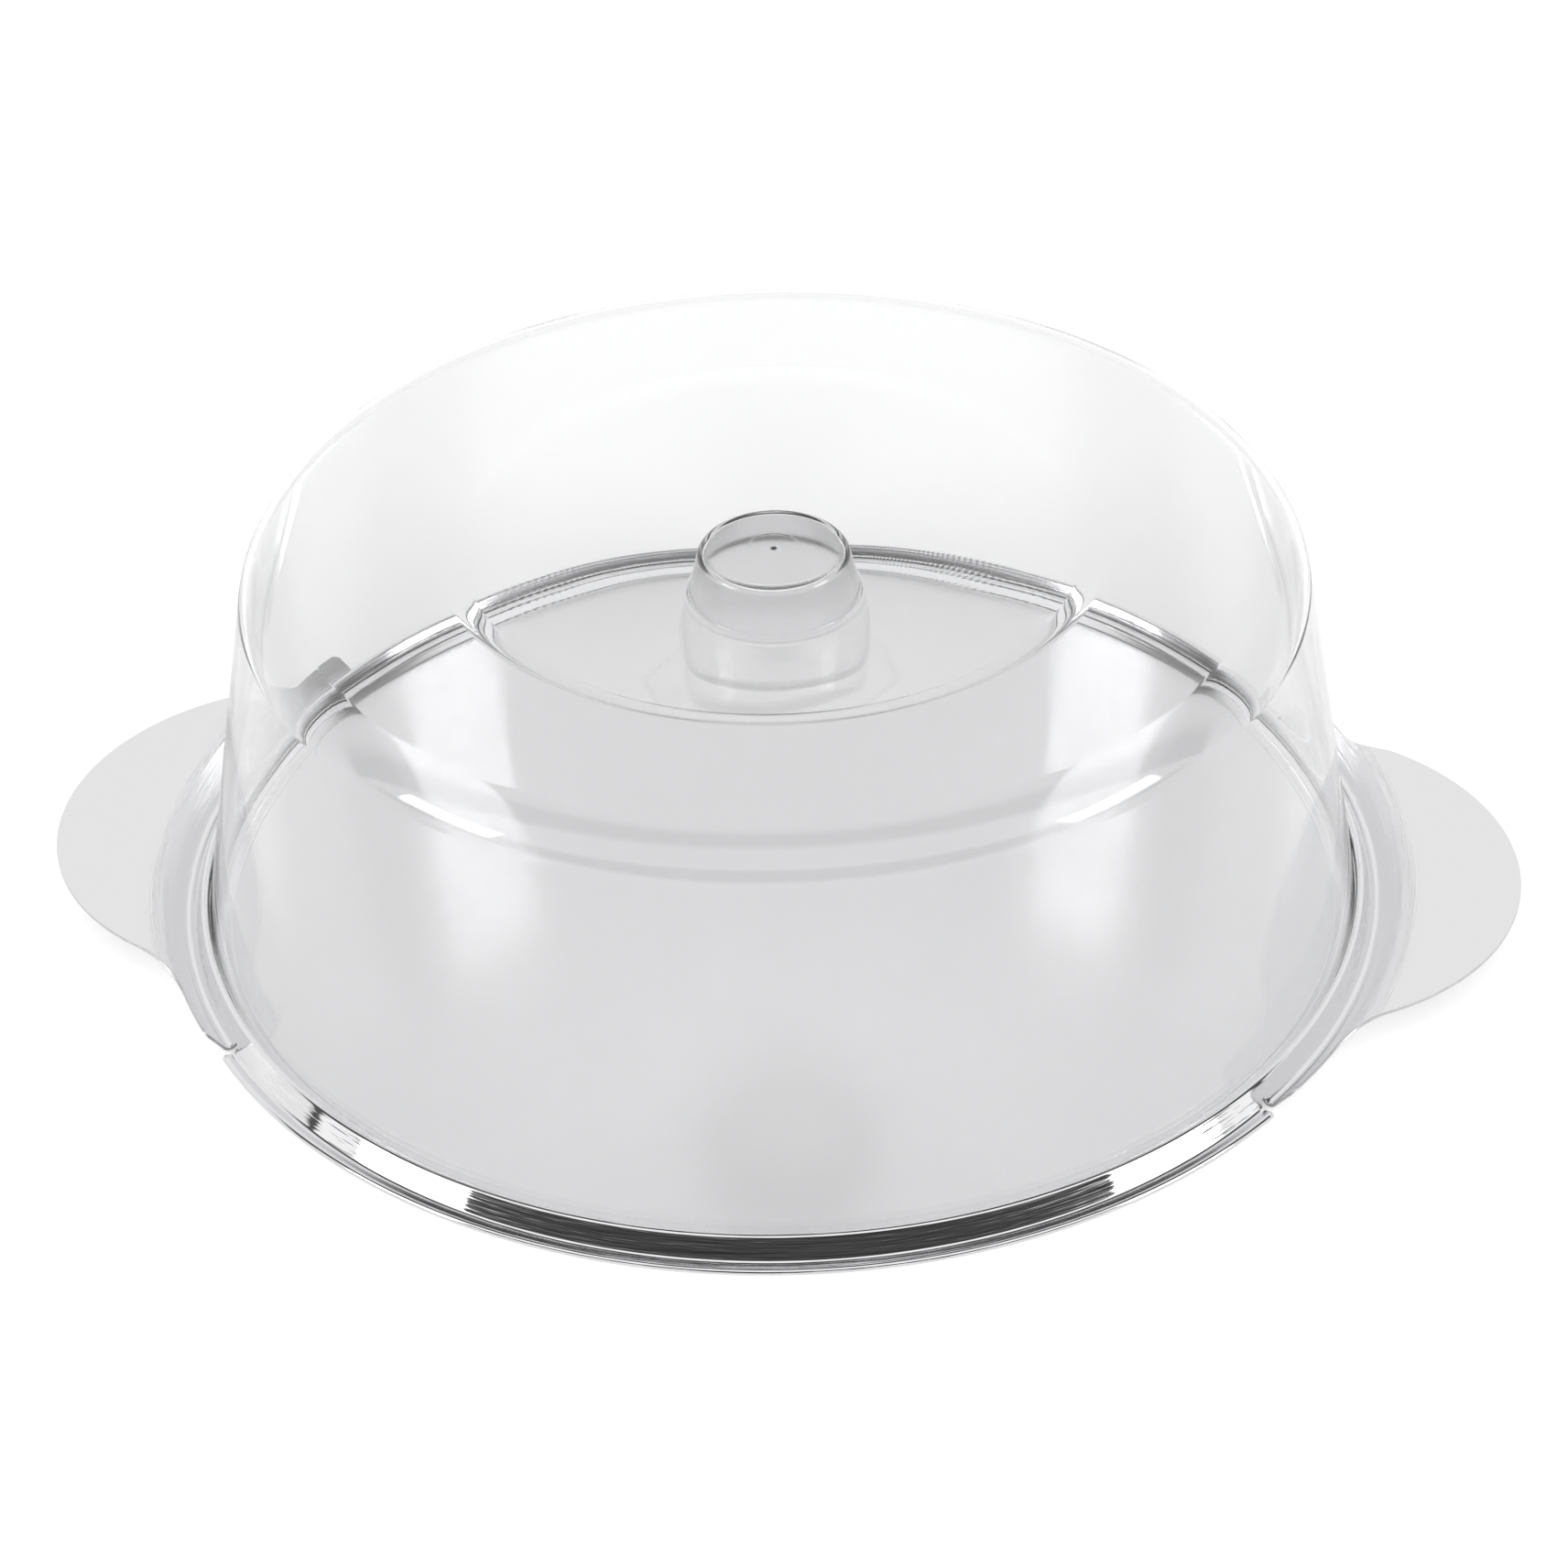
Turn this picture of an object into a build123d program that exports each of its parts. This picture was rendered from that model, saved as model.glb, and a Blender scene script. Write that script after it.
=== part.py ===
"""Cake stand with a lift-off dome: a pressed steel tray with two handle tabs, and a clear moulded cover.

Millimetres, +Z up. The origin is on the tray's axis, in the plane that the tray stands on.
The handle tabs point along +X and -X.
"""

import math
import os

from build123d import *

os.makedirs("parts", exist_ok=True)

# Tray: sheet, floor, the step up from it, and the ledge that carries the cover
sheet = 0.8
sheet_inner_bend = 0.2
floor_radius = 143.6
step_height = 2.1
step_run = 1.8
ledge_width = 4.4

# Tray: the ridge round the cover's foot, with an upright inner side and a steep outer slope
ridge_top = 6.9
ridge_slope = 60.0
ridge_slope_end = 3.0

# Tray: flange outside the ridge, turned down at its edge between the handles
rim_radius = 158.0
rim_valley_height = 1.0
rim_valley_bend = 1.0
rim_edge_height = 1.8
rim_roll = 1.1
rim_lip_clearance = 0.3

# Tray: handle tabs, and the groove between the ridge and each tab
tab_reach = 33.7
tab_nose_radius = 65.0
tab_root_blend = 28.0
tab_height = 11.0
tab_sector = 33.0
tab_corner_round = 4.0
notch_sector = 0.6
flange_overhang = 2.2
groove_bend = 1.5
slope_end_radius = 163.7
slope_bend = 6.0

# Cover: wall, shoulder and top
cover_wall = 2.0
foot_inset = 4.1
cover_seat_gap = 0.2
wall_lean = 16.5
shoulder_height = 106.4
shoulder_round = 9.5
ring_radius = 81.0
ring_rise = 1.4
ring_round = 9.0

# Cover: knob in the dished middle, with the moulding's gate mark on top
dish_depth = 17.0
knob_base_radius = 21.8
knob_base_round = 0.9
knob_height = 13.0
knob_draft = 2.9
knob_hollow_round = 0.6
gate_well_radius = 6.4
gate_well_depth = 0.25
gate_radius = 0.9
gate_tip_radius = 0.4
gate_height = 0.7

FULL_TURN = 360.0
HALF_TURN = 180.0


def radial_plane(angle):
    """The upright plane through the axis whose x direction points outwards at this angle in degrees."""
    turn = math.radians(angle)
    outwards = (math.cos(turn), math.sin(turn), 0)
    normal = (math.sin(turn), -math.cos(turn), 0)
    return Plane(origin=(0, 0, 0), x_dir=outwards, z_dir=normal)


def draw_sheet(corners, bends):
    """Draws a strip of sheet: its upper face through these corners with these bends, and its lower face below."""
    ways = []
    for near, far in zip(corners, corners[1:]):
        length = math.dist(near, far)
        ways.append(((far[0] - near[0]) / length, (far[1] - near[1]) / length))
    lower = []
    lower_bends = []
    for place, corner in enumerate(corners):
        before = ways[max(place - 1, 0)]
        after = ways[min(place, len(ways) - 1)]
        share = sheet / (1 + before[0] * after[0] + before[1] * after[1])
        lower.append((corner[0] + share * (before[1] + after[1]), corner[1] - share * (before[0] + after[0])))
        turns_up = before[0] * after[1] > before[1] * after[0]
        if 0 < place < len(ways):
            lower_bends.append(bends[place - 1] + (sheet if turns_up else -sheet))
    FilletPolyline(*corners, radius=bends)
    FilletPolyline(*lower, radius=lower_bends)
    Line(corners[0], lower[0])
    Line(corners[-1], lower[-1])


# Tray outline, working outwards from the floor
ledge_inner_radius = floor_radius + step_run
ledge_inner_height = sheet + step_height
ledge_outer_radius = ledge_inner_radius + ledge_width
flange_radius = rim_radius + flange_overhang
tab_tip_radius = rim_radius + tab_reach
tab_nose_centre = tab_tip_radius - tab_nose_radius
sharp_bend = sheet + sheet_inner_bend

# Cover outline, working inwards from the foot and down into the dish
cover_foot_radius = ledge_inner_radius + foot_inset
shoulder_radius = cover_foot_radius - wall_lean
ring_height = shoulder_height + ring_rise
knob_base_height = ring_height - dish_depth
knob_top_height = knob_base_height + knob_height
knob_top_radius = knob_base_radius - knob_draft
knob_edge_round = cover_wall + knob_hollow_round

# The ledge is square to the cover's wall, so it rises outwards by the wall's taper
wall_taper = math.atan2(wall_lean, shoulder_height - ledge_inner_height)


def ledge_height(radius):
    """Height of the ledge's upper face, carried on past its edges, at this radius."""
    return ledge_inner_height + (radius - ledge_inner_radius) * math.tan(wall_taper)


ledge_outer = (ledge_outer_radius, ledge_height(ledge_outer_radius))

# The ridge is one bend over its top, between the upright inner side and the outer slope
ridge_centre_radius = ledge_outer_radius + sharp_bend
ridge_centre_height = ridge_top - sharp_bend
slope_turn = math.radians(ridge_slope)


def ridge_slope_radius(height):
    """Radius of the upper face of the ridge's outer slope at this height."""
    drop = ridge_centre_height - height
    return ridge_centre_radius + (sharp_bend + drop * math.cos(slope_turn)) / math.sin(slope_turn)


slope_rise = (ridge_centre_radius - ledge_outer_radius) * math.tan(slope_turn) + sharp_bend / math.cos(slope_turn)
ridge_corner = (ledge_outer_radius, ridge_centre_height + slope_rise)
ridge_foot_radius = ridge_slope_radius(ridge_slope_end)
ridge_foot = (ridge_foot_radius, ridge_slope_end)

# What is cut away round each handle tab: all of its sector that lies outside the tongue's outline
with BuildSketch() as tab_outline:
    Circle(flange_radius)
    with Locations((tab_nose_centre, 0)):
        Circle(tab_nose_radius)
    fillet(tab_outline.vertices(), radius=tab_root_blend)
    wedge_reach = 2 * tab_tip_radius
    wedge_half = wedge_reach * math.tan(math.radians(tab_sector))
    with BuildLine():
        Polyline((0, 0), (wedge_reach, -wedge_half), (wedge_reach, wedge_half), (0, 0))
    make_face(mode=Mode.INTERSECT)
    fillet(tab_outline.vertices().sort_by(lambda corner: abs(corner.Y))[-2:], radius=tab_corner_round)
with BuildSketch() as tab_waste:
    waste_half = wedge_reach * math.tan(math.radians(tab_sector + notch_sector / 2))
    with BuildLine():
        Polyline((0, 0), (wedge_reach, -waste_half), (wedge_reach, waste_half), (0, 0))
    make_face()
    Circle(ridge_foot_radius, mode=Mode.SUBTRACT)
    add(tab_outline.sketch, mode=Mode.SUBTRACT)

# Tray: floor, step, ledge and ridge all round, the rim in two sectors, and a handle tab in each of the others
with BuildPart() as tray:
    with BuildSketch(radial_plane(0)):
        with BuildLine():
            draw_sheet(
                [
                    (0, sheet),
                    (floor_radius, sheet),
                    (ledge_inner_radius, ledge_inner_height),
                    ledge_outer,
                    ridge_corner,
                    ridge_foot,
                ],
                [sharp_bend, sharp_bend, sheet_inner_bend, sharp_bend],
            )
        make_face()
    revolve(axis=Axis.Z, revolution_arc=FULL_TURN)
    rim_start = tab_sector + notch_sector
    with BuildSketch(radial_plane(rim_start), radial_plane(rim_start + HALF_TURN)):
        with BuildLine():
            draw_sheet(
                [
                    ridge_foot,
                    (ridge_slope_radius(rim_valley_height), rim_valley_height),
                    (rim_radius, rim_edge_height),
                    (rim_radius, rim_lip_clearance),
                ],
                [rim_valley_bend, rim_roll],
            )
        make_face()
    revolve(axis=Axis.Z, revolution_arc=HALF_TURN - 2 * rim_start)
    with BuildSketch(radial_plane(-tab_sector), radial_plane(HALF_TURN - tab_sector)):
        with BuildLine():
            draw_sheet(
                [
                    ridge_foot,
                    (ridge_slope_radius(sheet), sheet),
                    (slope_end_radius, tab_height),
                    (tab_tip_radius + sheet, tab_height),
                ],
                [groove_bend, slope_bend],
            )
        make_face()
    revolve(axis=Axis.Z, revolution_arc=2 * tab_sector)
    with PolarLocations(0, 2):
        add(tab_waste.sketch)
    extrude(amount=2 * tab_height, mode=Mode.SUBTRACT)
tray.part.label = "tray"
export_step(tray.part, "parts/tray.step")

# Cover: one clear moulding of even wall, from the knob's top down to the foot on the tray's ledge
foot_height = ledge_height(cover_foot_radius) + cover_seat_gap
with BuildPart() as dome_cover:
    with BuildSketch(radial_plane(0)):
        with BuildLine():
            cover_section = FilletPolyline(
                (0, knob_top_height),
                (knob_top_radius, knob_top_height),
                (knob_base_radius, knob_base_height),
                (ring_radius, ring_height),
                (shoulder_radius, shoulder_height),
                (cover_foot_radius, foot_height),
                radius=[knob_edge_round, knob_base_round, ring_round, shoulder_round],
            )
            offset(cover_section, amount=cover_wall, side=Side.RIGHT)
        make_face()
    revolve(axis=Axis.Z, revolution_arc=FULL_TURN)
    with BuildSketch(Plane.XY.offset(knob_top_height)):
        Circle(gate_well_radius)
    extrude(amount=-gate_well_depth, mode=Mode.SUBTRACT)
    with Locations((0, 0, knob_top_height - gate_well_depth)):
        Cone(gate_radius, gate_tip_radius, gate_height, align=(Align.CENTER, Align.CENTER, Align.MIN))
dome_cover.part.label = "dome_cover"
export_step(dome_cover.part, "parts/dome_cover.step")

print("wall taper, degrees:", round(math.degrees(wall_taper), 2))
print("foot height:", round(foot_height, 2))
print("tray volume:", round(tray.part.volume), "solids:", len(tray.part.solids()))
print("cover volume:", round(dome_cover.part.volume), "solids:", len(dome_cover.part.solids()))
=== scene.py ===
# %% [markdown]
# # A cake stand with a lift-off dome
#
# The object is two loose pieces: a pressed, mirror-polished steel tray and a clear moulded cover.
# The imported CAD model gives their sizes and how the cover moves. This notebook gives them their looks:
# fine curved meshes in place of the faceted CAD ones, polished steel, clear plastic and a light tent.

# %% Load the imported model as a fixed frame
import math

import bmesh
import bpy
from mathutils import Matrix, Vector


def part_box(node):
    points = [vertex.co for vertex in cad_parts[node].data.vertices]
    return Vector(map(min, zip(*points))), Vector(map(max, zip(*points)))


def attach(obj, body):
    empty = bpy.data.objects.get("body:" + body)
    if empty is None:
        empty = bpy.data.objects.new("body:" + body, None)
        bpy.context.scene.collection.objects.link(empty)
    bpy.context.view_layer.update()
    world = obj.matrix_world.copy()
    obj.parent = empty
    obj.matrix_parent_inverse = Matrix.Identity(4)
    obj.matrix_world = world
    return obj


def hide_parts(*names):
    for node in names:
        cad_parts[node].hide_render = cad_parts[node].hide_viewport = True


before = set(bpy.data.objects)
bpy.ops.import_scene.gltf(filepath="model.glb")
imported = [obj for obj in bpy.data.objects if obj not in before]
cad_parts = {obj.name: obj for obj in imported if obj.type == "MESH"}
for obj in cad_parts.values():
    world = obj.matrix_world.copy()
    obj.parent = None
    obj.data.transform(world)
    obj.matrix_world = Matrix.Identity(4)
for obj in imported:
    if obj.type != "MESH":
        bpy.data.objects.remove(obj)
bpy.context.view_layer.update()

# %% [markdown]
# ## Sizes
#
# Blender works in metres, and the drawings of such a tray are in millimetres, so one factor turns one
# into the other. The outer sizes are read from the CAD boxes, so the new meshes can't drift away from
# them. The rest are the sheet's bends and the cover's profile, as (radius, height) on a turned part.

# %% Sizes of the tray and the cover
MM = 0.001
FULL_TURN = math.tau
HALF_TURN = math.pi
QUARTER_TURN = math.pi / 2

tray_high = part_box("tray")[1]
cover_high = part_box("dome_cover")[1]

SHEET = 0.8 * MM
RIM_RADIUS = tray_high.y
TAB_TIP_RADIUS = tray_high.x
TAB_HEIGHT = tray_high.z
FLOOR_RADIUS = 143.6 * MM
LEDGE_INNER = (145.4 * MM, 2.9 * MM)
WALL_TAPER = math.radians(9.06)
LEDGE_RISE = math.tan(WALL_TAPER)
LEDGE_OUTER_RADIUS = 149.8 * MM
SHARP_BEND = 1.0 * MM
TIGHT_BEND = 0.2 * MM
RIDGE_TOP = 6.9 * MM
RIDGE_SLOPE = math.radians(60)
RIDGE_FOOT_HEIGHT = 3.0 * MM

COVER_WALL = 2.0 * MM
FOOT_RADIUS = cover_high.x
FOOT_HEIGHT = 3.75 * MM
for name, high in (("tray", tray_high), ("cover", cover_high)):
    print(name, "reaches", [round(size / MM, 1) for size in high], "mm")

# %% [markdown]
# ## Camera
#
# A long lens from a metre away, looking down at 35 degrees and a little from the right of straight on.
# The roll is the small tilt of the picture's horizon. The order of the three rotations matters: roll the
# camera in its own plane first, then tip it up from straight down, then turn it about the vertical.

# %% Camera at the photograph's viewing angle
CAMERA_STAND = math.radians(7.3)
CAMERA_TURN = math.radians(7.24)
CAMERA_DISTANCE = 1.071
CAMERA_HEIGHT = 0.788
CAMERA_TILT = math.radians(35.25)
CAMERA_ROLL = math.radians(-1.44)
CAMERA_LENS = 116.3

camera_data = bpy.data.cameras.new("camera")
camera_data.lens = CAMERA_LENS
camera_data.sensor_width = 36.0
camera_data.sensor_fit = "HORIZONTAL"
camera = bpy.data.objects.new("camera", camera_data)
bpy.context.scene.collection.objects.link(camera)
camera_place = (
    CAMERA_DISTANCE * math.sin(CAMERA_STAND),
    -CAMERA_DISTANCE * math.cos(CAMERA_STAND),
    CAMERA_HEIGHT,
)
camera.matrix_world = (
    Matrix.Translation(camera_place)
    @ Matrix.Rotation(CAMERA_TURN, 4, "Z")
    @ Matrix.Rotation(QUARTER_TURN - CAMERA_TILT, 4, "X")
    @ Matrix.Rotation(CAMERA_ROLL, 4, "Z")
)
bpy.context.scene.camera = camera
print("camera at", [round(x, 3) for x in camera.matrix_world.translation])

# %% [markdown]
# ## Turned shapes
#
# Both pieces are turned shapes, so both start as an outline in the XZ plane. A corner of the outline is
# one vertex, and the bend there is a vertex bevel: for a bend of radius r that turns by an angle a, the
# bevel starts r * tan(a / 2) from the corner. Up to about 100 degrees that curve is close to a circle.
# A spin then sweeps the outline round the axis, and the points that fall together are merged.

# %% Draw an outline with rounded corners
BEND_SEGMENTS = 10


def draw_outline(mesh, corners, bends):
    """A chain of edges through (radius, height) corners, and a bend radius for each corner between."""
    before = set(mesh.verts)
    chain = [mesh.verts.new((radius, 0.0, height)) for radius, height in corners]
    for near, far in zip(chain, chain[1:]):
        mesh.edges.new((near, far))
    for corner, bend in zip(chain[1:-1], bends):
        ways = [edge.other_vert(corner).co - corner.co for edge in corner.link_edges]
        turn = HALF_TURN - ways[0].angle(ways[1])
        if bend and turn > 0:
            bmesh.ops.bevel(
                mesh,
                geom=[corner],
                offset=bend * math.tan(turn / 2),
                offset_type="OFFSET",
                segments=BEND_SEGMENTS,
                profile=0.5,
                affect="VERTICES",
                material=-1,
            )
    return [vert for vert in mesh.verts if vert not in before]


# %% Sweep an outline round the axis
def spin_outline(mesh, outline, start, sweep, steps):
    """Turns the outline to its start angle, then spins it. A full turn closes on itself."""
    bmesh.ops.rotate(mesh, verts=outline, cent=(0, 0, 0), matrix=Matrix.Rotation(start, 3, "Z"))
    edges = list(dict.fromkeys(edge for vert in outline for edge in vert.link_edges))
    bmesh.ops.spin(
        mesh,
        geom=outline + edges,
        cent=(0, 0, 0),
        axis=(0, 0, 1),
        dvec=(0, 0, 0),
        angle=sweep,
        steps=steps,
        use_merge=math.isclose(sweep, FULL_TURN),
        use_duplicate=False,
    )


# %% Turn a skin into an object whose faces point up and out
MERGE_DISTANCE = 0.005 * MM


def skin_object(name, mesh):
    """Closes the seams and the pole, points the faces away from the table, and makes the object."""
    bmesh.ops.remove_doubles(mesh, verts=mesh.verts, dist=MERGE_DISTANCE)
    bmesh.ops.recalc_face_normals(mesh, faces=mesh.faces)
    mesh.normal_update()
    top = max(mesh.faces, key=lambda face: face.calc_center_median().z)
    if top.normal.z < 0:
        bmesh.ops.reverse_faces(mesh, faces=mesh.faces)
    for face in mesh.faces:
        face.smooth = True
    data = bpy.data.meshes.new(name)
    mesh.to_mesh(data)
    mesh.free()
    piece = bpy.data.objects.new(name, data)
    bpy.context.scene.collection.objects.link(piece)
    print(name, "skin:", len(data.vertices), "vertices,", len(data.polygons), "faces")
    return piece


# %% [markdown]
# ## The cover
#
# The real cover is one clear moulding, so it is one closed skin with an outer and an inner side. The
# outline starts at the gate mark in the middle of the knob's top and runs down the knob, up the dished
# middle to the ring, across the flat top, round the shoulder and down the leaning wall to the foot. From
# there the inner side runs back, one wall thickness in. The wall is a little thicker next to the knob,
# where the plastic flows in, and that bends the lines that are seen through it.

# %% Outline of the cover
KNOB_TOP = 103.8 * MM
GATE_WELL_DEPTH = 0.25 * MM
GATE_WELL_RADIUS = 6.4 * MM
GATE_HEIGHT = 0.7 * MM
GATE_RADIUS = 0.9 * MM
GATE_TIP_RADIUS = 0.4 * MM
KNOB_TOP_RADIUS = 18.9 * MM
KNOB_BASE_RADIUS = 21.8 * MM
DISH_HEIGHT = 90.8 * MM
RING_RADIUS = 81.0 * MM
RING_HEIGHT = 107.8 * MM
SHOULDER_RADIUS = 133.0 * MM
SHOULDER_HEIGHT = 106.4 * MM
EXTRA_WALL = 0.4 * MM
FOOT_ROUND = 0.3 * MM
COVER_STEPS = 240

well_floor = KNOB_TOP - GATE_WELL_DEPTH
gate_corners = [
    (0.0, well_floor + GATE_HEIGHT),
    (GATE_TIP_RADIUS, well_floor + GATE_HEIGHT),
    (GATE_RADIUS, well_floor),
    (GATE_WELL_RADIUS, well_floor),
    (GATE_WELL_RADIUS + GATE_WELL_DEPTH, KNOB_TOP),
]
GATE_BEND = 0.15 * MM
gate_bends = [GATE_BEND] * (len(gate_corners) - 1)
outer_corners = [
    (KNOB_TOP_RADIUS, KNOB_TOP),
    (KNOB_BASE_RADIUS, DISH_HEIGHT),
    (RING_RADIUS, RING_HEIGHT),
    (SHOULDER_RADIUS, SHOULDER_HEIGHT),
    (FOOT_RADIUS, FOOT_HEIGHT),
]
# The bends are in the order of the corners: the knob's top and foot, the ring and the shoulder
outer_bends = [2.6 * MM, 0.9 * MM, 18.0 * MM, 12.5 * MM]
inner_bends = [0.6 * MM, 2.9 * MM, 22.0 * MM, 10.5 * MM]


def wall_inside(corners, wall):
    """The corners moved in by the wall: each lies where the two walls that meet there cross."""
    ways = [(far - near).normalized() for near, far in zip(corners, corners[1:])]
    moved = []
    for place, corner in enumerate(corners):
        before, after = ways[max(place - 1, 0)], ways[min(place, len(ways) - 1)]
        both = before + after
        moved.append(corner + Vector((both.y, -both.x)) * wall / (1 + before.dot(after)))
    return moved


middle_of_top = Vector((0.0, KNOB_TOP))
inner_corners = wall_inside([middle_of_top] + [Vector(corner) for corner in outer_corners], COVER_WALL)
inner_corners[2].y -= EXTRA_WALL
cover_corners = gate_corners + outer_corners + inner_corners[::-1]
cover_bends = gate_bends + outer_bends + [FOOT_ROUND, FOOT_ROUND] + inner_bends[::-1]

cover_mesh = bmesh.new()
cover_outline = draw_outline(cover_mesh, cover_corners, cover_bends)
spin_outline(cover_mesh, cover_outline, 0.0, FULL_TURN, COVER_STEPS)
cover = skin_object("clear_cover", cover_mesh)

# %% [markdown]
# The knob is hollow from below. Its hollow has a matt finish of its own, so the faces there are picked
# out for the cover's second material. They are the ones within half a wall of the hollow's surface.

# %% Pick out the hollow of the knob
MILKY_INDEX = 1
hollow_top, hollow_foot = inner_corners[1], inner_corners[2]
hollow_faces = 0
for face in cover.data.polygons:
    share = (face.center.z - hollow_foot.y) / (hollow_top.y - hollow_foot.y)
    limit = hollow_foot.x + share * (hollow_top.x - hollow_foot.x) + COVER_WALL / 2
    below_top = face.center.z < KNOB_TOP - COVER_WALL / 2
    if share > 0 and below_top and face.center.xy.length < limit:
        face.material_index = MILKY_INDEX
        hollow_faces += 1
print("faces in the knob's hollow:", hollow_faces)

# %% [markdown]
# ## The tray
#
# The tray is one sheet, so it is one skin too: its upper face, with the sheet's thickness below. The
# floor, the step, the ledge and the ridge round the cover's foot go all round. The ridge turns by 150
# degrees over its crest, too much for one vertex bevel to stay round, so it is drawn as two bends that
# meet on the crest. Outside the ridge the ring is split into four sectors: two with a flange that is
# turned down at its edge, and two that rise over a groove into the flat handle tabs. All sectors share
# the same fine steps, so their edges meet point for point and merge. Points that crowd on the crest are
# merged first, because the sheet's lower face would fold over there.

# %% Floor, step, ledge and ridge
STEP_ANGLE = math.radians(0.6)
TRAY_STEPS = round(FULL_TURN / STEP_ANGLE)


def ledge_height(radius):
    """Height of the sloping ledge, carried on outwards, at this radius."""
    return LEDGE_INNER[1] + (radius - LEDGE_INNER[0]) * LEDGE_RISE


ledge_outer = (LEDGE_OUTER_RADIUS, ledge_height(LEDGE_OUTER_RADIUS))
ridge_centre = (LEDGE_OUTER_RADIUS + SHARP_BEND, RIDGE_TOP - SHARP_BEND)


def ridge_slope_radius(height):
    """Radius of the ridge's outer slope at this height."""
    drop = ridge_centre[1] - height
    return ridge_centre[0] + (SHARP_BEND + drop * math.cos(RIDGE_SLOPE)) / math.sin(RIDGE_SLOPE)


def ridge_crest(near, far):
    """Where the tangents to the ridge's bend cross, at two angles from the vertical."""
    middle, reach = (near + far) / 2, SHARP_BEND / math.cos((far - near) / 2)
    return (ridge_centre[0] + reach * math.sin(middle), ridge_centre[1] + reach * math.cos(middle))


CREST_DEPTH = 0.1 * MM
CREST_GAP = 0.06 * MM
crest_angle = (RIDGE_SLOPE - QUARTER_TURN) / 2
crest_corners = [ridge_crest(-QUARTER_TURN, crest_angle), ridge_crest(crest_angle, RIDGE_SLOPE)]
ridge_foot = (ridge_slope_radius(RIDGE_FOOT_HEIGHT), RIDGE_FOOT_HEIGHT)
print("ridge's crest corners:", [[round(size / MM, 2) for size in corner] for corner in crest_corners])
tray_mesh = bmesh.new()
floor_outline = draw_outline(
    tray_mesh,
    [(0.0, SHEET), (FLOOR_RADIUS, SHEET), LEDGE_INNER, ledge_outer, *crest_corners, ridge_foot],
    [SHARP_BEND, SHARP_BEND, TIGHT_BEND, SHARP_BEND, SHARP_BEND],
)
crest = [vert for vert in floor_outline if vert.co.z > RIDGE_TOP - CREST_DEPTH]
bmesh.ops.remove_doubles(tray_mesh, verts=crest, dist=CREST_GAP)
floor_outline = [vert for vert in floor_outline if vert.is_valid]
spin_outline(tray_mesh, floor_outline, 0.0, FULL_TURN, TRAY_STEPS)
print("floor, ledge and ridge:", len(tray_mesh.faces), "faces")

# %% [markdown]
# Between the tabs the sheet runs down from the ridge into a shallow valley and out to the rim, where it
# is turned down. That stiffens the tray and keeps its cut edge away from fingers.

# %% Flange between the tabs
TAB_SECTOR = math.radians(33.0)
NOTCH_SECTOR = math.radians(0.6)
RIM_VALLEY = 1.0 * MM
RIM_VALLEY_BEND = 1.0 * MM
RIM_EDGE = 1.8 * MM
RIM_ROLL = 1.0 * MM
RIM_LIP = 0.3 * MM

rim_start = TAB_SECTOR + NOTCH_SECTOR
rim_sweep = HALF_TURN - 2 * rim_start
rim_corners = [
    ridge_foot,
    (ridge_slope_radius(RIM_VALLEY), RIM_VALLEY),
    (RIM_RADIUS, RIM_EDGE),
    (RIM_RADIUS, RIM_LIP),
]
for side in (0.0, HALF_TURN):
    rim_outline = draw_outline(tray_mesh, rim_corners, [RIM_VALLEY_BEND, RIM_ROLL])
    spin_outline(tray_mesh, rim_outline, side + rim_start, rim_sweep, round(rim_sweep / STEP_ANGLE))
print("with the flange:", len(tray_mesh.faces), "faces")

# %% [markdown]
# A handle tab is the same kind of sweep, of an outline that drops from the ridge into a groove and
# climbs to the flat tab. The tongue's plan shape is then cut out of it. In the plan it is made of
# arcs: a round nose, a hollow blend into the flange, the flange, and a small corner at the notch. Each
# arc gives the distance from the axis to the edge at an angle, so every row of vertices can be cut there.

# %% Plan shape of a handle tab
NOSE_RADIUS = 65.0 * MM
ROOT_BLEND = 28.0 * MM
FLANGE_RADIUS = 160.2 * MM
CORNER_ROUND = 4.0 * MM
nose_centre = TAB_TIP_RADIUS - NOSE_RADIUS
blend_reach = FLANGE_RADIUS + ROOT_BLEND
blend_angle = math.acos(
    (blend_reach**2 + nose_centre**2 - (NOSE_RADIUS + ROOT_BLEND) ** 2) / (2 * blend_reach * nose_centre)
)
nose_share = NOSE_RADIUS / (NOSE_RADIUS + ROOT_BLEND)
nose_end = (
    nose_centre + nose_share * (blend_reach * math.cos(blend_angle) - nose_centre),
    nose_share * blend_reach * math.sin(blend_angle),
)
nose_angle = math.atan2(nose_end[1], nose_end[0])
corner_reach = FLANGE_RADIUS - CORNER_ROUND
corner_angle = TAB_SECTOR - math.asin(CORNER_ROUND / corner_reach)


def across_circle(reach, radius, angle, far):
    """Distance from the axis to a circle whose centre is this far out, on a ray at this angle to it."""
    half = math.sqrt(max(radius**2 - (reach * math.sin(angle)) ** 2, 0.0))
    return reach * math.cos(angle) + (half if far else -half)


def tab_edge(angle):
    """Distance from the axis to the tab's edge at this angle from the middle of the tab."""
    angle = abs(angle)
    if angle < nose_angle:
        return across_circle(nose_centre, NOSE_RADIUS, angle, far=True)
    if angle < blend_angle:
        return across_circle(blend_reach, ROOT_BLEND, blend_angle - angle, far=False)
    if angle < corner_angle:
        return FLANGE_RADIUS
    return across_circle(corner_reach, CORNER_ROUND, angle - corner_angle, far=True)


tab_angles = [round(math.degrees(angle), 1) for angle in (nose_angle, blend_angle, corner_angle)]
print("nose, blend and flange end at", tab_angles, "degrees")

# %% Cut the rows of a swept tab at its edge
LEAST_GAP = 0.25 * MM


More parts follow.
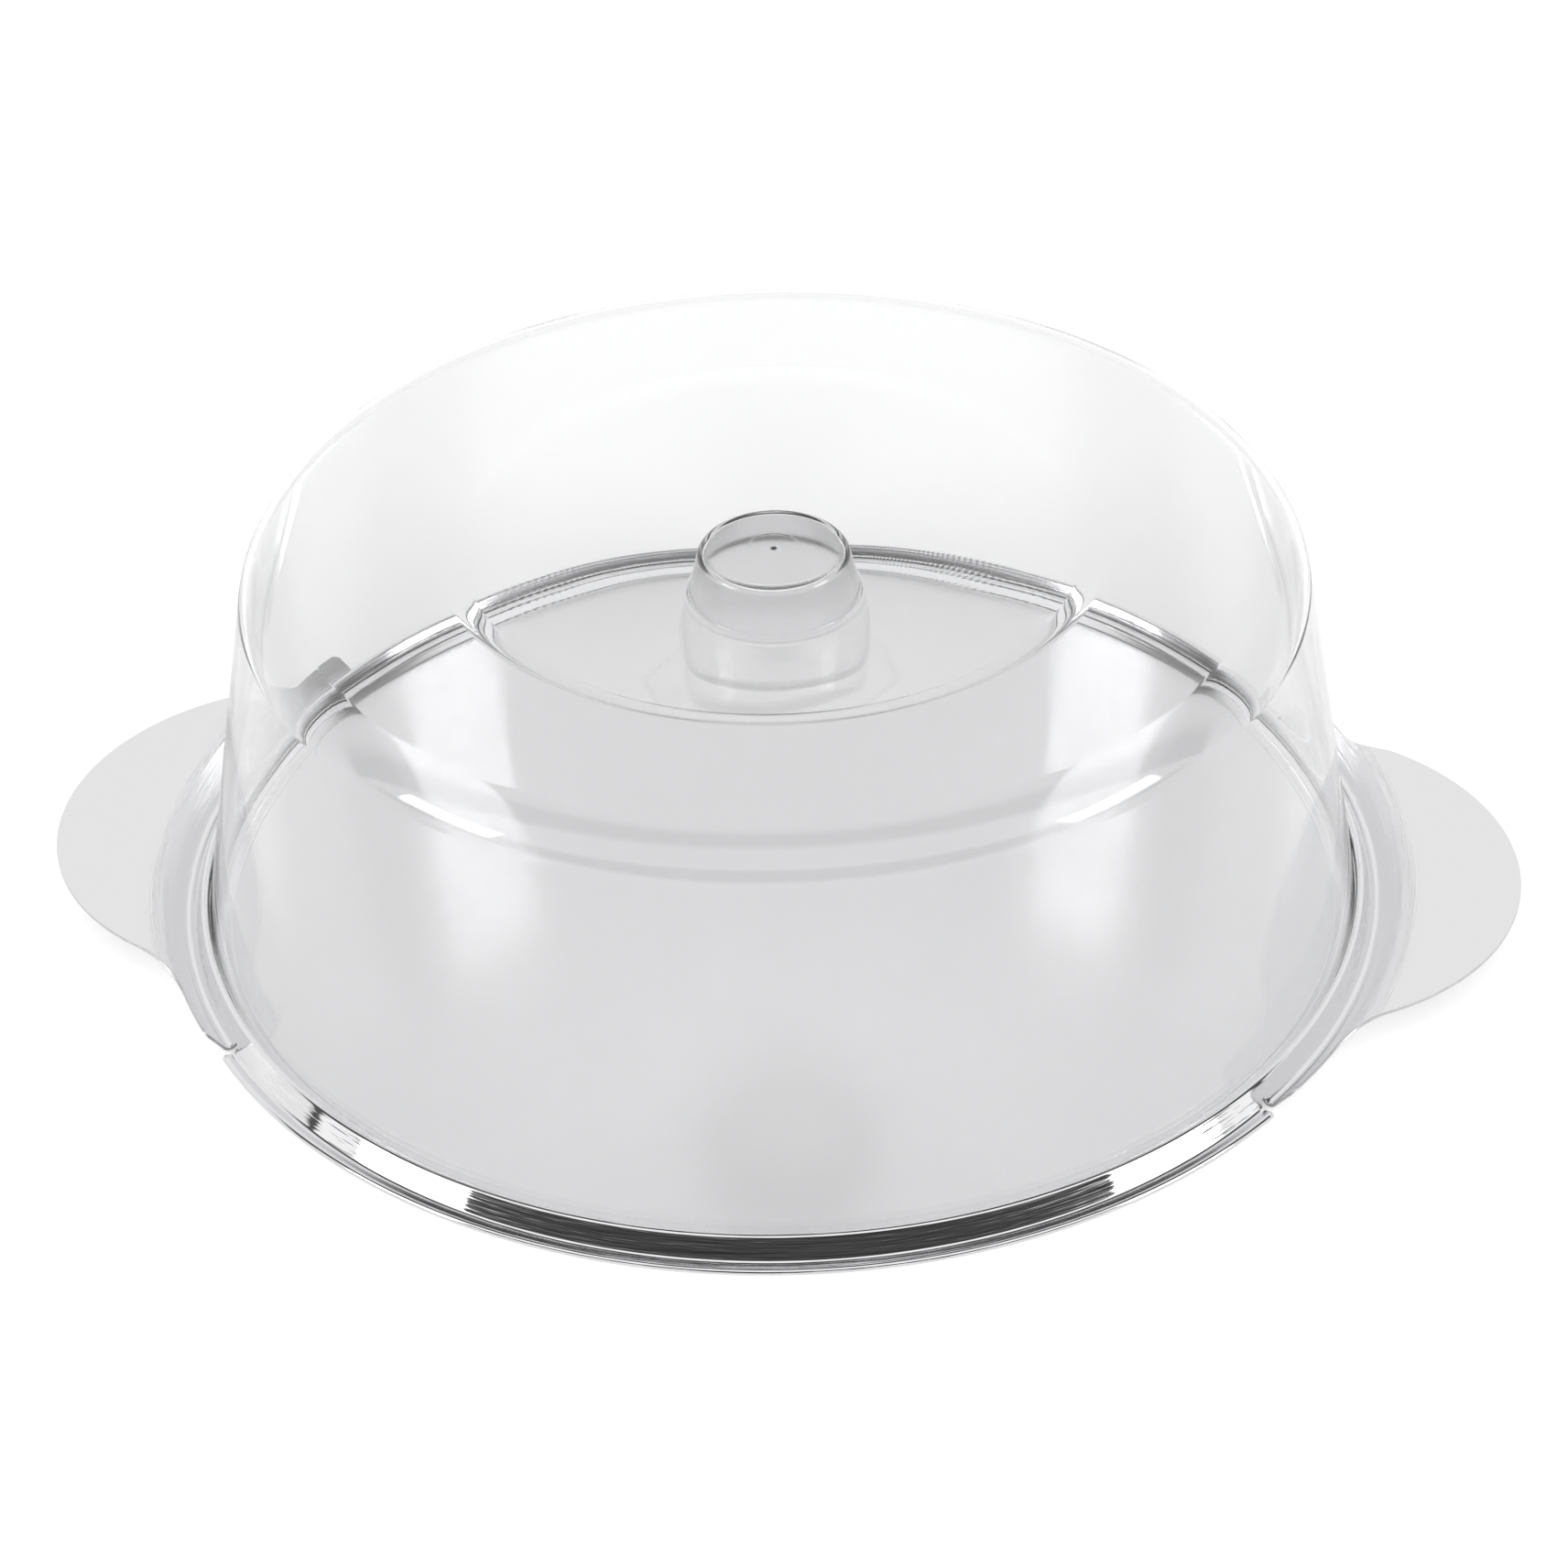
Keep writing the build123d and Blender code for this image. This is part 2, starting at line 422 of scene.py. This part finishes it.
def cut_at_edge(verts, middle):
    """Moves each vertex outside the tab's edge back along its row, to where the row meets the edge."""
    rows = {}
    for vert in verts:
        angle = math.remainder(math.atan2(vert.co.y, vert.co.x) - middle, FULL_TURN)
        rows.setdefault(round(angle / STEP_ANGLE), []).append((vert.co.xy.length, vert))
    for row, members in rows.items():
        members.sort(key=lambda member: member[0])
        edge = tab_edge(row * STEP_ANGLE)
        outside = [place for place, (distance, _) in enumerate(members) if distance > edge]
        if outside:
            first = outside[0]
            (near, inner), (far, outer) = members[first - 1], members[first]
            meeting = inner.co.lerp(outer.co, (edge - near) / (far - near))
            if edge - near < LEAST_GAP:
                first -= 1
            for _, vert in members[first:]:
                vert.co = meeting


# %% Two handle tabs
GROOVE_BEND = 1.5 * MM
SLOPE_BEND = 10.0 * MM
SLOPE_END_RADIUS = 163.7 * MM
tab_corners = [
    ridge_foot,
    (ridge_slope_radius(SHEET), SHEET),
    (SLOPE_END_RADIUS, TAB_HEIGHT),
    (TAB_TIP_RADIUS + SHEET, TAB_HEIGHT),
]
tab_sweep = 2 * TAB_SECTOR
for side in (0.0, HALF_TURN):
    before = set(tray_mesh.verts)
    tab_outline = draw_outline(tray_mesh, tab_corners, [GROOVE_BEND, SLOPE_BEND])
    spin_outline(tray_mesh, tab_outline, side - TAB_SECTOR, tab_sweep, round(tab_sweep / STEP_ANGLE))
    cut_at_edge([vert for vert in tray_mesh.verts if vert not in before], side)
tray = skin_object("steel_tray", tray_mesh)

# %% [markdown]
# The sheet's thickness is a Solidify below the skin, and its rim takes the second material, the cut edge.
# A small bevel breaks the cut edges, as tumbling does. Normals weighted by area keep the wide flat faces
# flat next to the fine bends.

# %% Give the sheet its thickness and soften its cut edges
CUT_EDGE_INDEX = 1
tray_sheet = tray.modifiers.new("sheet", "SOLIDIFY")
tray_sheet.thickness = SHEET
tray_sheet.offset = -1.0
tray_sheet.use_even_offset = True
tray_sheet.material_offset_rim = CUT_EDGE_INDEX
tray_edges = tray.modifiers.new("edges", "BEVEL")
tray_edges.limit_method = "ANGLE"
tray_edges.angle_limit = math.radians(50)
tray_edges.width = 0.15 * MM
tray_edges.segments = 2
for piece in (cover, tray):
    shading = piece.modifiers.new("shading", "WEIGHTED_NORMAL")
    shading.mode = "FACE_AREA"
    shading.keep_sharp = True
    print(piece.name, "modifiers:", [modifier.name for modifier in piece.modifiers])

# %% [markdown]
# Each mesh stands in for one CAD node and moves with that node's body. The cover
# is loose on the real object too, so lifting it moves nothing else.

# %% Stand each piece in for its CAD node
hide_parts("dome_cover")
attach(cover, "dome")
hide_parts("tray")
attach(tray, "tray")
print("stand-ins:", cover.name, "and", tray.name)

# %% [markdown]
# ## Materials
#
# Node trees are easier to read when each node is one line, so a small helper makes a node, sets its
# sockets and links whatever it is given.

# %% Helper for node trees
def add_node(tree, kind, settings=None, **sockets):
    """Makes a node. Its sockets are named or numbered (s0, s1), and take a value or another socket."""
    node = tree.nodes.new("ShaderNode" + kind)
    for name, value in (settings or {}).items():
        setattr(node, name, value)
    for name, value in sockets.items():
        key = int(name[1:]) if name[0] == "s" and name[1:].isdigit() else name.replace("_", " ")
        if isinstance(value, bpy.types.NodeSocket):
            tree.links.new(value, node.inputs[key])
        else:
            node.inputs[key].default_value = value
    return node


def new_material(name):
    """An empty material, its tree, and the tree's Object coordinates."""
    material = bpy.data.materials.new(name)
    material.use_nodes = True
    material.node_tree.nodes.clear()
    place = add_node(material.node_tree, "TexCoord").outputs["Object"]
    return material, material.node_tree, place


def show_material(material):
    """Prints what a finished material is made of."""
    print(material.name, "has", len(material.node_tree.nodes), "nodes")


# %% [markdown]
# ### Polished steel
#
# A mirror finish shows its surroundings, so its own detail is slight: a soft waviness that pressing
# leaves in the sheet, fine polishing marks and a hint of handling. Cakes are cut and slid on the floor,
# so it has a satin finish that hides marks: it still shows the tent, but no clear image of the knob. The
# ledge, the ridge and the rim are drawn over the tool's edge, which leaves faint lines round the axis.
# The lines are a noise over the distance from the axis plus the height, with little change round the
# axis, and they end before the flat of the tabs.

# %% Polished steel
LINES_PER_METRE = 1500.0
LINES_ROUND = (4.0, 4.0, 4.0)
LINES_END = (166.0 * MM, 169.0 * MM)
SATIN_ROUGHNESS = 0.2
steel, tree, place = new_material("polished_steel")
waves = add_node(tree, "TexNoise", Vector=place, Scale=18.0, Detail=2.0, Roughness=0.4)
marks = add_node(tree, "TexNoise", Vector=place, Scale=900.0, Detail=4.0, Roughness=0.6)
smears = add_node(tree, "TexNoise", Vector=place, Scale=30.0, Detail=5.0, Roughness=0.65)
ripple = add_node(tree, "Bump", Strength=0.05, Distance=0.0006, Height=waves.outputs[0])
grain = add_node(
    tree, "Bump", Strength=0.03, Distance=0.00002, Height=marks.outputs[0], Normal=ripple.outputs[0]
)
spread = add_node(tree, "SeparateXYZ", Vector=place)
plan = add_node(tree, "CombineXYZ", s0=spread.outputs[0], s1=spread.outputs[1])
reach = add_node(tree, "VectorMath", {"operation": "LENGTH"}, s0=plan.outputs[0]).outputs["Value"]
way = add_node(tree, "VectorMath", {"operation": "NORMALIZE"}, s0=plan.outputs[0])
outwards = add_node(tree, "Math", {"operation": "ADD"}, s0=reach, s1=spread.outputs[2])
counted = add_node(tree, "Math", {"operation": "MULTIPLY"}, s0=outwards.outputs[0], s1=LINES_PER_METRE)
lifted = add_node(tree, "CombineXYZ", s2=counted.outputs[0])
spot = add_node(
    tree,
    "VectorMath",
    {"operation": "MULTIPLY_ADD"},
    s0=way.outputs[0],
    s1=LINES_ROUND,
    s2=lifted.outputs[0],
)
streaks = add_node(tree, "TexNoise", Vector=spot.outputs[0], Scale=1.0, Detail=3.0, Roughness=0.6)
pressed = add_node(tree, "MapRange", Value=reach, s1=FLOOR_RADIUS, s2=LEDGE_INNER[0], s3=0.0, s4=1.0)
flat_top = add_node(tree, "MapRange", Value=reach, s1=LINES_END[0], s2=LINES_END[1], s3=1.0, s4=0.0)
drawn = add_node(tree, "Math", {"operation": "MULTIPLY"}, s0=pressed.outputs[0], s1=flat_top.outputs[0])
lines = add_node(
    tree,
    "Bump",
    Strength=drawn.outputs[0],
    Distance=0.00008,
    Height=streaks.outputs[0],
    Normal=grain.outputs[0],
)
mirror = add_node(tree, "MapRange", Value=smears.outputs[0], s1=0.35, s2=0.75, s3=0.02, s4=0.06)
satin = add_node(
    tree, "MapRange", Value=reach, s1=FLOOR_RADIUS, s2=LEDGE_INNER[0], s3=SATIN_ROUGHNESS, s4=0.0
)
rough = add_node(tree, "Math", {"operation": "ADD"}, s0=mirror.outputs[0], s1=satin.outputs[0])
steel_shader = add_node(
    tree,
    "BsdfPrincipled",
    Base_Color=(0.78, 0.78, 0.79, 1.0),
    Metallic=1.0,
    Roughness=rough.outputs[0],
    Normal=lines.outputs[0],
)
add_node(tree, "OutputMaterial", Surface=steel_shader.outputs[0])
tray.data.materials.append(steel)
show_material(steel)

# %% [markdown]
# ### Cut edge of the sheet
#
# The blank is cut out with a punch and its edge is only tumbled, so the edge is dull, with fine marks
# across the sheet's thickness.

# %% Dull steel of the cut edge
cut_steel, tree, place = new_material("cut_steel_edge")
burrs = add_node(tree, "TexNoise", Vector=place, Scale=1200.0, Detail=3.0, Roughness=0.7)
nicks = add_node(tree, "Bump", Strength=0.4, Distance=0.00003, Height=burrs.outputs[0])
dull = add_node(tree, "MapRange", Value=burrs.outputs[0], s1=0.3, s2=0.7, s3=0.35, s4=0.5)
cut_shader = add_node(
    tree,
    "BsdfPrincipled",
    Base_Color=(0.62, 0.62, 0.63, 1.0),
    Metallic=1.0,
    Roughness=dull.outputs[0],
    Normal=nicks.outputs[0],
)
add_node(tree, "OutputMaterial", Surface=cut_shader.outputs[0])
tray.data.materials.append(cut_steel)
show_material(cut_steel)

# %% [markdown]
# ### Clear plastic
#
# The moulding is clear and glossy. Its faces swell a little where the plastic cooled unevenly, so the
# lines behind them wander. The plastic takes a little of the light on its way through each wall, which
# is what makes the cover show against a white table.

# %% Clear plastic
plastic, tree, place = new_material("clear_plastic")
swell = add_node(tree, "TexNoise", Vector=place, Scale=14.0, Detail=1.0, Roughness=0.4)
flow = add_node(tree, "Bump", Strength=0.3, Distance=0.0016, Height=swell.outputs[0])
wear = add_node(tree, "TexNoise", Vector=place, Scale=45.0, Detail=4.0, Roughness=0.6)
haze = add_node(tree, "MapRange", Value=wear.outputs[0], s1=0.4, s2=0.8, s3=0.0, s4=0.03)
plastic_shader = add_node(
    tree,
    "BsdfPrincipled",
    Base_Color=(0.966, 0.967, 0.969, 1.0),
    Roughness=haze.outputs[0],
    IOR=1.5,
    Transmission_Weight=1.0,
    Normal=flow.outputs[0],
)
add_node(tree, "OutputMaterial", Surface=plastic_shader.outputs[0])
cover.data.materials.append(plastic)
show_material(plastic)

# %% [markdown]
# ### Milky plastic
#
# The mould's core for the knob was left matt, so the hollow of the knob scatters light and looks milky,
# and what is behind the knob can hardly be made out. The matt texture is a fine grain, and it softens
# the step from plastic to air, so this side has a slightly lower index.

# %% Milky plastic in the knob's hollow
milky, tree, place = new_material("milky_plastic")
specks = add_node(tree, "TexNoise", Vector=place, Scale=1500.0, Detail=3.0, Roughness=0.6)
spark = add_node(tree, "Bump", Strength=0.25, Distance=0.00005, Height=specks.outputs[0])
milky_shader = add_node(
    tree,
    "BsdfPrincipled",
    Base_Color=(0.995, 0.996, 0.997, 1.0),
    Roughness=0.2,
    IOR=1.4,
    Transmission_Weight=1.0,
    Normal=spark.outputs[0],
)
add_node(tree, "OutputMaterial", Surface=milky_shader.outputs[0])
cover.data.materials.append(milky)
show_material(milky)

# %% [markdown]
# ## Studio
#
# The object stands on a white table in a light tent. What the mirror and the clear plastic show is the
# tent itself, so the world is drawn by direction: bright ahead of the camera, a dark gap overhead, a
# light cloth above the camera and a dark opening low behind it. A lamp stands low on the left and on the
# right, a little nearer to the camera than the object is. Surfaces that scatter light see an even white
# instead. The table is brighter for the camera than for the mirror and the plastic, so the background
# is white and the cover keeps its tint.

# %% Floor
FLOOR_SIZE = 12.0
floor_mesh = bmesh.new()
bmesh.ops.create_grid(floor_mesh, x_segments=1, y_segments=1, size=FLOOR_SIZE)
floor_data = bpy.data.meshes.new("floor")
floor_mesh.to_mesh(floor_data)
floor_mesh.free()
floor = bpy.data.objects.new("floor", floor_data)
bpy.context.scene.collection.objects.link(floor)

MIRRORED_LIFT = 0.12
DIRECT_LIFT = 0.4
white, tree, _ = new_material("white_table")
rays = add_node(tree, "LightPath")
camera_ray = rays.outputs["Is Camera Ray"]
glossy_ray = rays.outputs["Is Glossy Ray"]
clear_ray = rays.outputs["Is Transmission Ray"]
seen = add_node(tree, "Math", {"operation": "MAXIMUM"}, s0=clear_ray, s1=glossy_ray)
mirrored = add_node(tree, "Math", {"operation": "MULTIPLY"}, s0=seen.outputs[0], s1=MIRRORED_LIFT)
direct = add_node(tree, "Math", {"operation": "MULTIPLY"}, s0=camera_ray, s1=DIRECT_LIFT)
lift = add_node(tree, "Math", {"operation": "MAXIMUM"}, s0=mirrored.outputs[0], s1=direct.outputs[0])
paper = add_node(tree, "BsdfDiffuse", Color=(0.9, 0.9, 0.9, 1.0))
glow = add_node(tree, "Emission", Strength=lift.outputs[0])
both = add_node(tree, "AddShader", s0=paper.outputs[0], s1=glow.outputs[0])
add_node(tree, "OutputMaterial", Surface=both.outputs[0])
floor.data.materials.append(white)
show_material(white)

# %% [markdown]
# A lamp in the tent is a rectangle, as the object sees it. A direction is projected on the plane in front
# of the lamp's middle, and it is lit where it lands in the rectangle. The light fades over a soft edge.

# %% Panel of light for the world
SOFT_EDGE = 1.12


def light_panel(tree, direction, azimuth, elevation, width, height, level):
    """A soft-edged rectangle of light. Angles are in degrees, and azimuth is to the right of ahead."""
    turn, tip = math.radians(azimuth), math.radians(elevation)
    middle = (math.sin(turn) * math.cos(tip), math.cos(turn) * math.cos(tip), math.sin(tip))
    across = (math.cos(turn), -math.sin(turn), 0.0)
    upwards = (-math.sin(turn) * math.sin(tip), -math.cos(turn) * math.sin(tip), math.cos(tip))
    projection, product = {"operation": "DOT_PRODUCT"}, {"operation": "MULTIPLY"}
    depth = add_node(tree, "VectorMath", projection, s0=direction, s1=middle).outputs["Value"]
    window = add_node(tree, "Math", {"operation": "GREATER_THAN"}, s0=depth, s1=0.0)
    for axis, size in ((across, width), (upwards, height)):
        along = add_node(tree, "VectorMath", projection, s0=direction, s1=axis).outputs["Value"]
        slope = add_node(tree, "Math", {"operation": "DIVIDE"}, s0=along, s1=depth)
        offset = add_node(tree, "Math", {"operation": "ABSOLUTE"}, s0=slope.outputs[0])
        half = math.tan(math.radians(size / 2))
        fade = half * SOFT_EDGE
        inside = add_node(tree, "MapRange", Value=offset.outputs[0], s1=half, s2=fade, s3=1.0, s4=0.0)
        window = add_node(tree, "Math", product, s0=window.outputs[0], s1=inside.outputs[0])
    return add_node(tree, "Math", product, s0=window.outputs[0], s1=level).outputs[0]


# %% [markdown]
# The tent is an arch over the object, from the horizon ahead of the camera, over the top, to the horizon
# behind it. Each entry below is an angle on that arch, in degrees, and the tent's brightness there.

# %% World drawn by direction
ARCH_BANDS = [
    (0, 0.95),
    (42, 1.0),
    (60, 0.95),
    (67, 0.6),
    (73, 0.1),
    (98, 0.1),
    (108, 1.15),
    (149, 1.1),
    (153, 0.3),
    (157, 0.09),
    (165, 0.03),
    (180, 0.03),
]
ARCH_DEGREES = 180
LAMP_AZIMUTH = 111
LAMP_ELEVATION = 15
LAMP_WIDTH = 20
LAMP_HEIGHT = 15
LAMP_LEVEL = 7.0

world = bpy.data.worlds.new("light_tent")
bpy.context.scene.world = world
world.use_nodes = True
tree = world.node_tree
tree.nodes.clear()
rays = add_node(tree, "LightPath")
direction = add_node(tree, "TexCoord").outputs["Generated"]
about_z = {"rotation_type": "Z_AXIS"}
turned = add_node(tree, "VectorRotate", about_z, Vector=direction, Angle=-CAMERA_STAND).outputs[0]
split = add_node(tree, "SeparateXYZ", Vector=turned)
over = add_node(tree, "Math", {"operation": "ARCTAN2"}, s0=split.outputs[2], s1=split.outputs[1])
share = add_node(tree, "Math", {"operation": "DIVIDE"}, s0=over.outputs[0], s1=HALF_TURN)
arch = add_node(tree, "ValToRGB", Fac=share.outputs[0])
ramp = arch.color_ramp
while len(ramp.elements) < len(ARCH_BANDS):
    ramp.elements.new(0.5)
for element, (angle, level) in zip(ramp.elements, ARCH_BANDS):
    element.position = angle / ARCH_DEGREES
    element.color = (level, level, level, 1.0)
glare = arch.outputs[0]
for azimuth in (-LAMP_AZIMUTH, LAMP_AZIMUTH):
    lamp = light_panel(tree, turned, azimuth, LAMP_ELEVATION, LAMP_WIDTH, LAMP_HEIGHT, LAMP_LEVEL)
    glare = add_node(tree, "MixRGB", {"blend_type": "ADD"}, Fac=1.0, Color1=glare, Color2=lamp).outputs[0]
tent = add_node(tree, "Background", Color=glare)
even = add_node(tree, "Background", Color=(1.0, 1.0, 1.0, 1.0))
diffuse_depth, camera_ray = rays.outputs["Diffuse Depth"], rays.outputs["Is Camera Ray"]
scatter = add_node(tree, "Math", {"operation": "MAXIMUM"}, s0=diffuse_depth, s1=camera_ray)
scatter = add_node(tree, "Math", {"operation": "MINIMUM"}, s0=scatter.outputs[0], s1=1.0)
choice = add_node(tree, "MixShader", s0=scatter.outputs[0], s1=tent.outputs[0], s2=even.outputs[0])
add_node(tree, "OutputWorld", Surface=choice.outputs[0])
print(world.name, "has", len(tree.nodes), "nodes and", len(ramp.elements), "bands")

# %% [markdown]
# The Standard view leaves the colours as they are, so the white table stays white.

# %% Plain view settings
bpy.context.scene.view_settings.view_transform = "Standard"
print("view:", bpy.context.scene.view_settings.view_transform)
